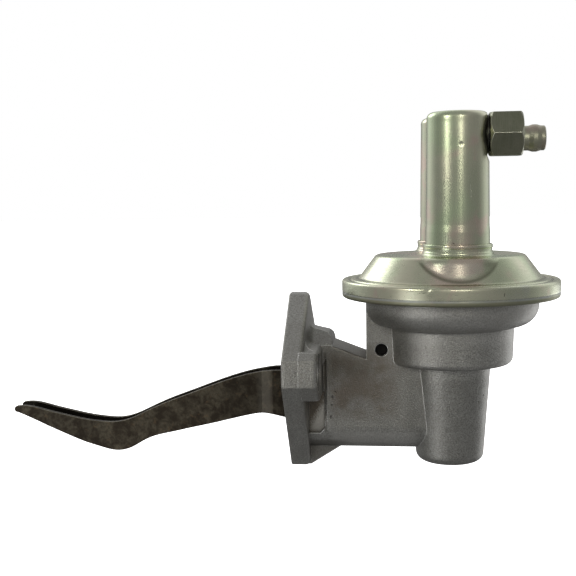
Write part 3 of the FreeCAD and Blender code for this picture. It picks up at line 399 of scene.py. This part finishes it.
def finish_plated(m, scratches=(), dents=(), dark=(), bump=0.035):
    base, rg, h, rounded, X, Y, Z, r, ang = m.wear
    for a, b, w in scratches:
        s = m.stroke(a, b, w)
        base = m.mix(m.math("MULTIPLY", s, 0.7), base, (0.88, 0.88, 0.82))
        h = m.math("ADD", h, m.math("MULTIPLY", s, -1.4))
    for c, rad in dents:
        s = m.spot(c, rad, 1.0)
        h = m.math("ADD", h, m.math("MULTIPLY", s, -14.0))
    for a, b, w in dark:
        s = m.stroke(a, b, w)
        base = m.mix(m.math("MULTIPLY", s, 0.8), base, (0.10, 0.095, 0.07))
        h = m.math("ADD", h, m.math("MULTIPLY", s, -0.8))
    m.set(Base_Color=base, Roughness=rg, Normal=m.bump(h, bump, 0.9, rounded))
    return m.m


# ------------------------------------------------------------------ other metals
def make_fitting():
    m = Mat("fitting_steel")
    p = m.coord()
    a = m.noise(70, 3, 0.6)
    g = m.noise(1600, 2, 0.6)
    X, Y, Z = m.split(p)
    lines = m.noise(1900, 2, 0.6, at=m.join(X, m.math("MULTIPLY", Y, 0.03), m.math("MULTIPLY", Z, 0.03)))
    base = m.mix(m.step(a, 0.36, 0.66), (0.235, 0.245, 0.175), (0.31, 0.31, 0.235))
    base = m.mix(m.step(g, 0.4, 0.72, 0.0, 0.35), base, (0.17, 0.17, 0.12))
    base = m.mix(m.step(lines, 0.45, 0.7, 0.0, 0.25), base, (0.36, 0.36, 0.28))
    rounded = m.bevel(0.35)
    edge = m.edge(rounded)
    # painted highlight along the edges
    base = m.mix(m.step(edge, 0.006, 0.05, 0.0, 0.85), base, (0.86, 0.86, 0.72))
    # painted shade in hollows, from the occlusion
    ao = m.cavity(3.0)
    base = m.mix(m.step(ao, 0.6, 0.2, 0.0, 0.8), base, (0.05, 0.05, 0.035))
    m.set(Base_Color=base, Metallic=1.0, Roughness=m.step(g, 0.3, 0.7, 0.28, 0.40))
    h = m.math("ADD", m.math("MULTIPLY", lines, 0.6), m.math("MULTIPLY", g, 0.4))
    m.set(Normal=m.bump(h, 0.03, 0.9, rounded))
    return m.m


def make_arm():
    m = Mat("arm_steel")
    p = m.coord()
    X, Y, Z = m.split(p)
    big = m.noise(210, 3.5, 0.62, dist=0.4)
    small = m.noise(620, 3, 0.65)
    grit = m.noise(1900, 2, 0.6)
    rust = m.noise(330, 3, 0.6, at=m.vmath("ADD", p, (1.3, 0.2, 2.2)))
    base = m.mix(m.step(big, 0.36, 0.66), (0.040, 0.032, 0.023), (0.110, 0.096, 0.070))
    base = m.mix(m.step(small, 0.42, 0.68, 0.0, 0.55), base, (0.045, 0.035, 0.026))
    base = m.mix(m.step(rust, 0.58, 0.70, 0.0, 0.55), base, (0.14, 0.10, 0.062))
    # lighter where the sides were drawn in, by the mounting face
    band = m.math("MULTIPLY", m.step(X, -0.0185, -0.0150), m.step(X, -0.0080, -0.0115))
    band = m.math("MULTIPLY", band, m.step(small, 0.25, 0.6, 0.5, 1.0))
    base = m.mix(m.math("MULTIPLY", band, 0.5), base, (0.19, 0.178, 0.15))
    ends = m.math("MAXIMUM", m.step(X, -0.092, -0.112), m.step(X, -0.042, -0.030))
    base = m.mix(m.math("MULTIPLY", ends, 0.34), base, (0.016, 0.013, 0.010))
    rounded = m.bevel(0.5)
    edge = m.edge(rounded)
    # painted highlight along the edges, patchy
    base = m.mix(m.math("MULTIPLY", m.step(edge, 0.008, 0.08), m.step(small, 0.2, 0.6, 0.40, 0.8)), base,
                 (0.27, 0.255, 0.21))
    # painted shade in hollows, from the occlusion
    ao = m.cavity(6.0)
    base = m.mix(m.step(ao, 0.7, 0.25, 0.0, 0.8), base, (0.012, 0.010, 0.008))
    # painted shade on the inner walls of the channel
    side = m.math("ABSOLUTE", Y)
    inner = m.math("MULTIPLY", m.step(X, -0.010, -0.020), m.step(side, 0.0056, 0.0050))
    wide = m.math("MULTIPLY", m.step(X, -0.020, -0.010), m.step(side, 0.0060, 0.0056))
    inside = m.math("MAXIMUM", inner, wide)
    inside = m.math("MULTIPLY", inside, m.step(edge, 0.03, 0.005))
    base = m.mix(m.math("MULTIPLY", inside, 0.88), base, (0.006, 0.005, 0.004))
    m.set(Base_Color=base, Metallic=0.9, Roughness=m.step(small, 0.3, 0.7, 0.42, 0.56))
    h = m.math("ADD", m.math("MULTIPLY", small, 0.8), m.math("MULTIPLY", grit, 0.4))
    m.set(Normal=m.bump(h, 0.06, 0.9, rounded))
    return m.m


def make_steel(name, lo, hi, rough, about=(82.0, 0.0)):
    m = Mat(name)
    p = m.coord()
    rel = m.vmath("SUBTRACT", p, (about[0] * MM, about[1] * MM, 0.0))
    X, Y, Z = m.split(rel)
    r = m.math("SQRT", m.math("ADD", m.math("MULTIPLY", X, X), m.math("MULTIPLY", Y, Y)))
    rings = m.noise(1500, 2, 0.6, at=m.join(r, 0.0, m.math("MULTIPLY", Z, 1.0)))
    g = m.noise(1400, 2, 0.6)
    a = m.noise(90, 3, 0.6)
    base = m.mix(m.step(a, 0.35, 0.68), lo, hi)
    base = m.mix(m.step(g, 0.55, 0.75, 0.0, 0.35), base, tuple(c * 0.55 for c in lo))
    rounded = m.bevel(0.25)
    # painted highlight along the edges
    base = m.mix(m.step(m.edge(rounded), 0.01, 0.08, 0.0, 0.6), base, (0.85, 0.85, 0.84))
    m.set(Base_Color=base, Metallic=1.0, Roughness=m.step(rings, 0.3, 0.7, rough[0], rough[1]))
    h = m.math("ADD", m.math("MULTIPLY", rings, 0.6), m.math("MULTIPLY", g, 0.3))
    m.set(Normal=m.bump(h, 0.03, 0.9, rounded))
    return m.m


def make_soft(name, lo, hi, rough, weave=False, sheen=0.0):
    m = Mat(name)
    p = m.coord()
    g = m.noise(1300, 2, 0.6)
    a = m.noise(140, 3, 0.6)
    base = m.mix(m.step(a, 0.35, 0.68), lo, hi)
    h = m.math("MULTIPLY", g, 0.6)
    if weave:
        X, Y, Z = m.split(p)
        wx = m.math("SINE", m.math("MULTIPLY", X, 2 * math.pi / 0.0011))
        wy = m.math("SINE", m.math("MULTIPLY", Y, 2 * math.pi / 0.0011))
        w = m.math("MULTIPLY", wx, wy)
        h = m.math("ADD", h, m.math("MULTIPLY", w, 0.35))
        base = m.mix(m.step(w, -0.2, 0.9, 0.0, 0.4), base, tuple(c * 1.7 for c in hi))
    base = m.mix(m.step(g, 0.55, 0.75, 0.0, 0.4), base, tuple(c * 1.6 + 0.006 for c in hi))
    m.set(Base_Color=base, Metallic=0.0, Roughness=m.step(g, 0.3, 0.7, rough[0], rough[1]))
    m.set(Normal=m.bump(h, 0.03, 0.8, m.bevel(0.25)))
    return m.m


m_cast = make_cast()
m_cover = finish_plated(
    plated("plated_cover", rim=True),
    scratches=[((28.6, -12.8, 36.2), (30.2, -18.0, 37.2), 0.30), ((68.6, -53.2, 42.6), (70.4, -53.5, 41.2), 0.22),
               ((40.2, -36.0, 40.8), (46.0, -41.5, 40.2), 0.12), ((120.0, 30.0, 50.0), (112.0, 33.0, 50.2), 0.15)],
    dark=[((28.9, -14.0, 35.4), (31.5, -21.0, 36.9), 0.22), ((115.0, -43.9, 41.4), (115.0, -43.9, 38.2), 0.16),
          ((104.2, -50.1, 40.0), (104.2, -50.1, 38.8), 0.30), ((70.9, -53.7, 41.9), (69.9, -53.5, 40.8), 0.18),
          ((60.0, 50.3, 40.5), (60.0, 50.3, 39.0), 0.2)], bump=0.02)
m_can_out = finish_plated(
    plated("plated_canister_near", about=(84.9, -18.2), turned=False, rough=(0.24, 0.30)), bump=0.014,
    scratches=[((75.4, -30.4, 67.6), (79.4, -32.6, 63.9), 0.20), ((74.2, -29.3, 67.9), (77.4, -31.6, 65.6), 0.12),
               ((72.8, -28.0, 66.2), (75.2, -30.2, 66.6), 0.14), ((90.0, -32.6, 90.0), (90.4, -32.5, 84.0), 0.08)],
    dents=[((85.8, -33.4, 108.9), 1.5)],
    dark=[((85.2, -33.4, 108.6), (85.8, -33.4, 109.3), 0.18), ((85.8, -33.4, 109.3), (86.5, -33.4, 108.6), 0.18),
          ((81.8, -33.6, 62.4), (82.4, -33.7, 62.0), 0.35)])
m_can_in = finish_plated(plated("plated_canister_far", about=(83.0, 18.2), turned=False), bump=0.014)
m_nip = finish_plated(plated("plated_nipple", light=0.66, rough=(0.34, 0.44), turned=False))
m_fit = make_fitting()
m_arm = make_arm()
m_steel = make_steel("bright_steel", (0.46, 0.46, 0.46), (0.60, 0.60, 0.59), (0.22, 0.34))
m_pin = make_steel("pin_steel", (0.010, 0.010, 0.009), (0.022, 0.021, 0.020), (0.3, 0.45), about=(47.4, 0.0))
m_spring = make_steel("spring_steel", (0.20, 0.205, 0.215), (0.34, 0.34, 0.34), (0.26, 0.36))
m_rub = make_soft("black_rubber", (0.006, 0.006, 0.006), (0.010, 0.010, 0.009), (0.10, 0.2))
m_dia = make_soft("diaphragm_rubber", (0.010, 0.010, 0.010), (0.018, 0.017, 0.016), (0.5, 0.62), weave=True)
m_brass = make_steel("cage_brass", (0.55, 0.42, 0.20), (0.68, 0.54, 0.28), (0.22, 0.36))
m_disc = make_soft("disc_plastic", (0.030, 0.028, 0.026), (0.05, 0.047, 0.043), (0.34, 0.45))

SLOTS = {"casting": m_cast, "plated_steel": m_cover, "fitting_steel": m_fit, "arm_steel": m_arm,
         "bright_steel": m_steel, "spring_steel": m_spring, "black_rubber": m_rub, "diaphragm_rubber": m_dia,
         "cage_brass": m_brass, "disc_plastic": m_disc}
OWN = {"outlet_canister": m_can_out, "inlet_canister": m_can_in, "inlet_nipple": m_nip, "pivot_pin": m_pin}
for sp in frame["record"]["subparts"]:
    o = nodes[sp["node"]]
    o.data.materials.clear()
    o.data.materials.append(OWN.get(sp["node"], SLOTS[sp["material_slot"]]))
# ------------------------------------------------------------------ coil springs: each gets its own copy of its mesh
for name, joint, travel, top in (("diaphragm_spring", "diaphragm_slide", 3.75, True),
                                 ("arm_return_spring", "rocker_hinge", 4.5, False),
                                 ("inlet_valve_spring", "inlet_disc_slide", 1.25, False),
                                 ("outlet_valve_spring", "outlet_disc_slide", 1.25, True)):
    o = nodes[name]
    heights = [(o.matrix_world @ v.co).z for v in o.data.vertices]
    low, high = min(heights), max(heights)
    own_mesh(o)

# ------------------------------------------------------------------ mesh helpers
def add_mesh(name, verts, faces, mat, body, replaces=(), slot=None, sharp=35):
    me = bpy.data.meshes.new(name)
    # faces turned so that they look out of the piece
    volume = 0.0
    for f in faces:
        a = verts[f[0]]
        for q, r in zip(f[1:], f[2:]):
            volume += a.dot(verts[q].cross(verts[r]))
    if volume < 0:
        faces = [tuple(reversed(f)) for f in faces]
    me.from_pydata([tuple(v) for v in verts], [], faces)
    me.validate()
    o = bpy.data.objects.new(name, me)
    scene.collection.objects.link(o)
    me.materials.append(mat)
    me.shade_smooth()
    me.set_sharp_from_angle(angle=math.radians(sharp))
    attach(o, body)
    if replaces:
        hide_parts(*replaces)
    return o


def rounded_line(points, per_arc=8):
    """A polyline of (r, z, fillet) with arcs in its corners."""
    out = []
    n = len(points)
    for i, p in enumerate(points):
        v = Vector(p[:2])
        rad = p[2] if len(p) > 2 else 0
        if rad <= 0 or i in (0, n - 1):
            out.append(v)
            continue
        a = (Vector(points[i - 1][:2]) - v)
        b = (Vector(points[i + 1][:2]) - v)
        la, lb = a.length, b.length
        a, b = a / la, b / lb
        half = math.acos(max(-1, min(1, a.dot(b)))) / 2
        cut = min(rad / math.tan(half), la * 0.49, lb * 0.49)
        rad = cut * math.tan(half)
        mid = (a + b).normalized()
        c = v + mid * (rad / math.sin(half))
        s, e = v + a * cut, v + b * cut
        a0 = math.atan2((s - c).y, (s - c).x)
        a1 = math.atan2((e - c).y, (e - c).x)
        d = (a1 - a0 + math.pi) % (2 * math.pi) - math.pi
        for k in range(per_arc + 1):
            t = a0 + d * k / per_arc
            out.append(c + Vector((math.cos(t), math.sin(t))) * rad)
    return out


def dense(line, step):
    """Adds points so that no run of the line is longer than step(r)."""
    out = [line[0]]
    for a, b in zip(line, line[1:]):
        n = max(1, math.ceil((b - a).length / step((a.x + b.x) / 2)))
        out += [a + (b - a) * (k / n) for k in range(1, n + 1)]
    return out


def lathe(name, line, centre, steps, mat, body, closed=True, shape=None, **kw):
    """Turns a line of (r, z) in millimetres about the upright axis through centre."""
    verts, faces = [], []
    n = len(line)
    for i in range(steps):
        t = 2 * math.pi * i / steps
        for p in line:
            v = Vector((centre[0] + p.x * math.cos(t), centre[1] + p.x * math.sin(t), p.y))
            if shape:
                v = shape(v)
            verts.append(v * MM)
    for i in range(steps):
        j = (i + 1) % steps
        for k in range(n if closed else n - 1):
            m2 = (k + 1) % n
            faces.append((i * n + k, j * n + k, j * n + m2, i * n + m2))
    if not closed:
        faces.append(tuple(i * n for i in reversed(range(steps))))
        faces.append(tuple(i * n + n - 1 for i in range(steps)))
    return add_mesh(name, verts, faces, mat, body, **kw)


def along_x(name, line, x0, cy, cz, steps, mat, body, closed=True, **kw):
    """Turns a line of (x, r) in millimetres about an axis along X."""
    verts, faces = [], []
    n = len(line)
    for i in range(steps):
        t = 2 * math.pi * i / steps
        for p in line:
            verts.append(Vector((x0 + p.x, cy - p.y * math.sin(t), cz + p.y * math.cos(t))) * MM)
    for i in range(steps):
        j = (i + 1) % steps
        for k in range(n if closed else n - 1):
            m2 = (k + 1) % n
            faces.append((i * n + k, i * n + m2, j * n + m2, j * n + k))
    return add_mesh(name, verts, faces, mat, body, **kw)


def smax(a, b, k):
    """Larger of two heights with a fillet of size k where they meet."""
    h = max(k - abs(a - b), 0.0) / k
    return max(a, b) + h * h * k * 0.25


def table(points, x):
    for (x0, y0), (x1, y1) in zip(points, points[1:]):
        if x <= x1:
            return y0 + (y1 - y0) * (x - x0) / (x1 - x0)
    return points[-1][1]


# ------------------------------------------------------------------ the pressed cover
COL = [((84.9, -18.2), (83.3, -18.2)), ((83.0, 18.2), (83.0, 18.2))]
LOBE = [(0, 55.42), (20.6, 55.42), (21.6, 55.3), (22.4, 54.95), (23.1, 54.3), (23.6, 53.4), (26.9, 43.6), (29.5, 35.8), (90, -100)]
SKIRT = [(0, 58.6), (16.6, 58.6), (16.9, 57.4), (17.3, 56.6), (18.0, 56.0), (19.2, 55.6), (20.6, 55.4), (22.5, 55.1), (24, 50.0), (90, -100)]
LOBE_IN = [(0, 53.9), (20.6, 53.7), (22.0, 52.8), (25.4, 42.6), (27.6, 36.0), (90, -100)]


def cover_height(x, y, z):
    for (cx, cy), (lx, ly) in COL:
        z = smax(z, table(LOBE, math.hypot(x - lx, y - ly)), 0.35)
        z = smax(z, table(SKIRT, math.hypot(x - cx, y - cy)), 0.5)
    return z


def cover_room(x, y, z):
    if z > 43.3:
        for (cx, cy), (lx, ly) in COL:
            z = max(z, table(LOBE_IN, math.hypot(x - lx, y - ly)))
    return z


outer = rounded_line([(0.6, 55.3), (37.4, 55.3, 2.6), (46.35, 43.36, 2.4), (49.9, 43.3, 0.5), (50.5, 42.62, 0.5),
                      (51.4, 42.62, 0.5), (52.0, 43.05, 0.6), (54.8, 43.05, 1.9), (54.8, 37.1, 0.2),
                      (54.66, 36.92, 0.1), (54.74, 36.6, 0.2), (54.74, 34.0, 2.2), (50.4, 34.0)], 7)
outer = dense(outer, lambda r: 2.0 if r < 12 else 0.44 if r < 47 else 0.8)
inner = rounded_line([(50.4, 35.2), (53.6, 35.2), (53.6, 41.8), (46.2, 41.8), (44.5, 43.4),
                      (36.5, 54.05, 1.6), (0.6, 54.05)], 3)
inner = dense(inner, lambda r: 2.5 if r < 14 else 1.8)
line = outer + inner
STEPS = 460
verts, faces = [], []
for i in range(STEPS):
    t = 2 * math.pi * i / STEPS
    c, s = math.cos(t), math.sin(t)
    for k, p in enumerate(line):
        x, y = 82.0 + p.x * c, p.x * s
        z = p.y
        if p.x < 46.4:
            z = cover_height(x, y, z) if k < len(outer) else cover_room(x, y, z)
        verts.append(Vector((x, y, z)))
# a small nick in the lip, as the photograph shows
for v in verts:
    if v.y < -40:
        d = math.hypot(v.x - 69.6, (v.z - 42.2) * 1.3)
        if d < 1.3:
            v.z -= 0.35 * (1 - d / 1.3)
            v.y += 0.35 * (1 - d / 1.3)
n = len(line)
for i in range(STEPS):
    j = (i + 1) % STEPS
    for k in range(n - 1):
        quad = (i * n + k, i * n + k + 1, j * n + k + 1, j * n + k)
        mid = sum((verts[q] for q in quad), Vector()) / 4
        if min(math.hypot(mid.x - c[0], mid.y - c[1]) for c, l in COL) > 16.35 or mid.z < 50:
            faces.append(quad)
faces.append(tuple(i * n for i in range(STEPS)))
faces.append(tuple(i * n + n - 1 for i in reversed(range(STEPS))))
cover = add_mesh("cover_shell", [v * MM for v in verts], faces, m_cover, "housing", ("top_cover",), "plated_steel", 40)
ring = rounded_line([(9.65, 54.0), (16.5, 54.0), (17.25, 56.5, 0.6), (17.15, 57.4, 0.6), (16.7, 57.8, 0.5),
                     (16.72, 59.4, 0.5), (16.98, 59.8, 0.4), (16.98, 61.4, 0.5), (15.78, 61.4, 0.3), (15.78, 55.3),
                     (9.65, 55.3)], 5)
for tag, (c, l) in zip(("near", "far"), COL):
    lathe("collar_" + tag, ring, c, 160, m_cover, "housing", slot="plated_steel", sharp=40)


# ------------------------------------------------------------------ the two drawn cups
def cup(name, centre, mat, node, flat=None):
    out = rounded_line([(0.4, 124.9), (14.95, 124.9, 3.2), (15.08, 112.0), (15.44, 70.9, 1.9), (15.64, 67.4, 1.9),
                        (15.7, 55.32)], 10)
    out = dense(out, lambda r: 1.6)
    ins = [Vector(p) for p in ((14.8, 55.32), (14.8, 68.0), (14.2, 71.0), (14.06, 122.0), (12.4, 124.0), (0.4, 124.0))]

    def shape(v):
        # a slow, shallow wander of the drawn wall
        w = noise.noise(Vector((v.x * 0.045, v.y * 0.045, v.z * 0.03 + centre[0]))) * 0.05
        d = Vector((v.x - centre[0], v.y - centre[1], 0))
        if 58 < v.z < 121 and d.length > 14.9:
            v = v - d.normalized() * (0.05 + w)
        if flat:
            k = max(0.0, min(1.0, (v.z - 101.4) / 2.6))
            k = k * k * (3 - 2 * k)
            lim = flat
            if v.x > lim and k > 0 and v.z > 100:
                v = Vector((v.x + (lim - v.x) * k, v.y, v.z))
        return v
    o = lathe(name, out + ins, centre, 224, mat, "housing", closed=False, shape=shape, replaces=(node,),
              slot="plated_steel", sharp=30)
    return o


cup("cup_near", (84.9, -18.2), m_can_out, "outlet_canister", 98.5)
cup("cup_far", (83.0, 18.2), m_can_in, "inlet_canister")

# ------------------------------------------------------------------ stage
world = bpy.data.worlds.new("world")
scene.world = world
world.use_nodes = True
w = Tree(world.node_tree)
world.node_tree.nodes.clear()
w_out = w.n("ShaderNodeOutputWorld")
w_bg = w.n("ShaderNodeBackground")
world.node_tree.links.new(w_bg.outputs[0], w_out.inputs[0])
direction = w.vmath("NORMALIZE", w.coord("Generated"))
wx, wy, wz = w.split(direction)
away = w.vmath("DOT_PRODUCT", direction, (0.05, 0.9987, 0.0))
right = w.vmath("DOT_PRODUCT", direction, (0.9987, -0.05, 0.0))
zz = w.math("MULTIPLY_ADD", wz, 0.5, 0.5)
front = w.ramp(zz, [(0.0, 0.19), (0.28, 0.23), (0.44, 0.255), (0.50, 0.275), (0.62, 0.285), (0.85, 0.30), (1.0, 0.33)])
back = w.ramp(zz, [(0.0, 0.15), (0.30, 0.22), (0.44, 0.62), (0.49, 0.84), (0.63, 0.98), (0.75, 1.0), (0.88, 0.85), (1.0, 0.42)])
k = w.step(away, -0.2, 0.7)
studio = w.mix(k, front, back)
low = w.math("MULTIPLY", w.step(away, 0.68, 0.94, 0.0, 0.74), w.step(wz, 0.70, 0.25))
studio = w.mix(low, studio, 0.05)
shade = w.math("MULTIPLY", w.step(right, 0.35, 0.8, 0.0, 0.15), w.math("SUBTRACT", 1.0, k))
studio = w.mix(shade, studio, 0.02)
fill = w.ramp(zz, [(0.0, 0.45), (0.5, 0.85), (1.0, 1.0)])
path = w.n("ShaderNodeLightPath")
col = w.mix(path.outputs["Is Glossy Ray"], fill, studio)
col = w.mix(path.outputs["Is Camera Ray"], col, 1.0)
w.plug(w_bg.inputs[0], col)
w_bg.inputs[1].default_value = 1.0

me = bpy.data.meshes.new("floor")
s = 6.0
z = -0.075
me.from_pydata([(-s, -s, z), (s, -s, z), (s, s, z), (-s, s, z)], [], [(0, 1, 2, 3)])
floor = bpy.data.objects.new("floor", me)
scene.collection.objects.link(floor)
mf = Mat("floor")
tone = mf.mix(mf.step(mf.noise(3, 2, 0.5), 0.3, 0.7), (0.95, 0.95, 0.95), (0.97, 0.97, 0.97))
mf.set(Base_Color=tone, Roughness=0.9, Emission_Color=(1, 1, 1), Emission_Strength=1.0)
me.materials.append(mf.m)
floor.visible_glossy = False
floor.visible_diffuse = False


def area(name, loc, target, size, power, color=(1, 1, 1)):
    d = bpy.data.lights.new(name, "AREA")
    d.shape = "RECTANGLE"
    d.size, d.size_y = size
    d.energy = power
    d.color = color
    o = bpy.data.objects.new(name, d)
    scene.collection.objects.link(o)
    o.location = loc
    o.rotation_euler = (Vector(target) - Vector(loc)).to_track_quat("-Z", "Y").to_euler()
    o.visible_camera = False
    return o


def strip(name, direction, far, low, high, width, power, color=(1, 1, 1)):
    """An upright softbox far metres from the pump axis."""
    dx, dy = direction
    n = math.hypot(dx, dy)
    x, y = 0.082 + dx / n * far, dy / n * far
    zc = (low + high) / 2
    return area(name, (x, y, zc), (0.082, 0, zc), (width, high - low), power, color)


strip("strip_left", (-0.661, -0.750), 1.2, 0.25, 0.66, 0.22, 2.6, (1.0, 0.965, 0.86))
strip("low_left", (-0.69, -0.73), 1.2, -0.75, -0.16, 0.36, 2.3)
strip("low_back_right", (0.68, 0.73), 1.0, -0.60, -0.06, 0.50, 1.25)
strip("strip_right", (0.15, -0.989), 1.2, 0.25, 0.66, 0.13, 1.7, (1.0, 0.965, 0.84))
area("back_left", (-0.82, 0.80, 0.72), (0.06, 0, 0.04), (0.7, 0.6), 2.6)
